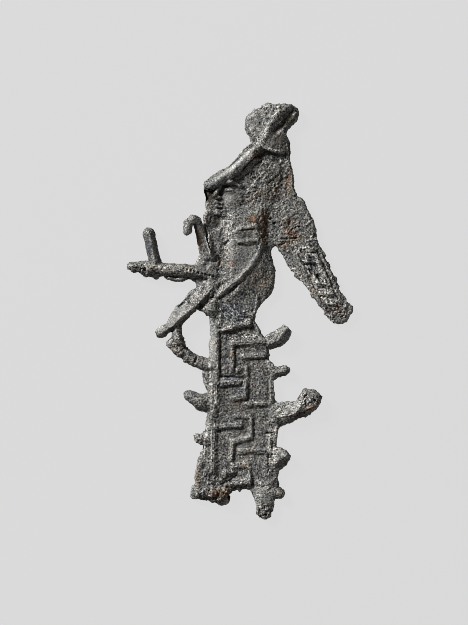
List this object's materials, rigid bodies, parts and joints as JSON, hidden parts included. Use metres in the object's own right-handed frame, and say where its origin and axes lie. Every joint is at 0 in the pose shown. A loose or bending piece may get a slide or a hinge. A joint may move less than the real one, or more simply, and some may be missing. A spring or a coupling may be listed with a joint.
{
  "type": "lead votive figurine",
  "caption": "Small flat-cast lead figurine of a helmeted armed goddess with a snake-fringed, meander-patterned robe, worn and broken, lying flat on its back.",
  "frame": {"origin": "middle of the outline, on the flat back that the figurine lies on", "axes": "+X to the viewer's right, +Y from the feet to the crest, +Z out of the modelled front"},
  "size_m": [0.0378, 0.0696, 0.0036],
  "materials": {
    "lead": "matt weathered lead with a grey patina and soil in the hollows"
  },
  "bodies": {
    "root": {"athena_figurine": "lead"}
  },
  "joints": []
}
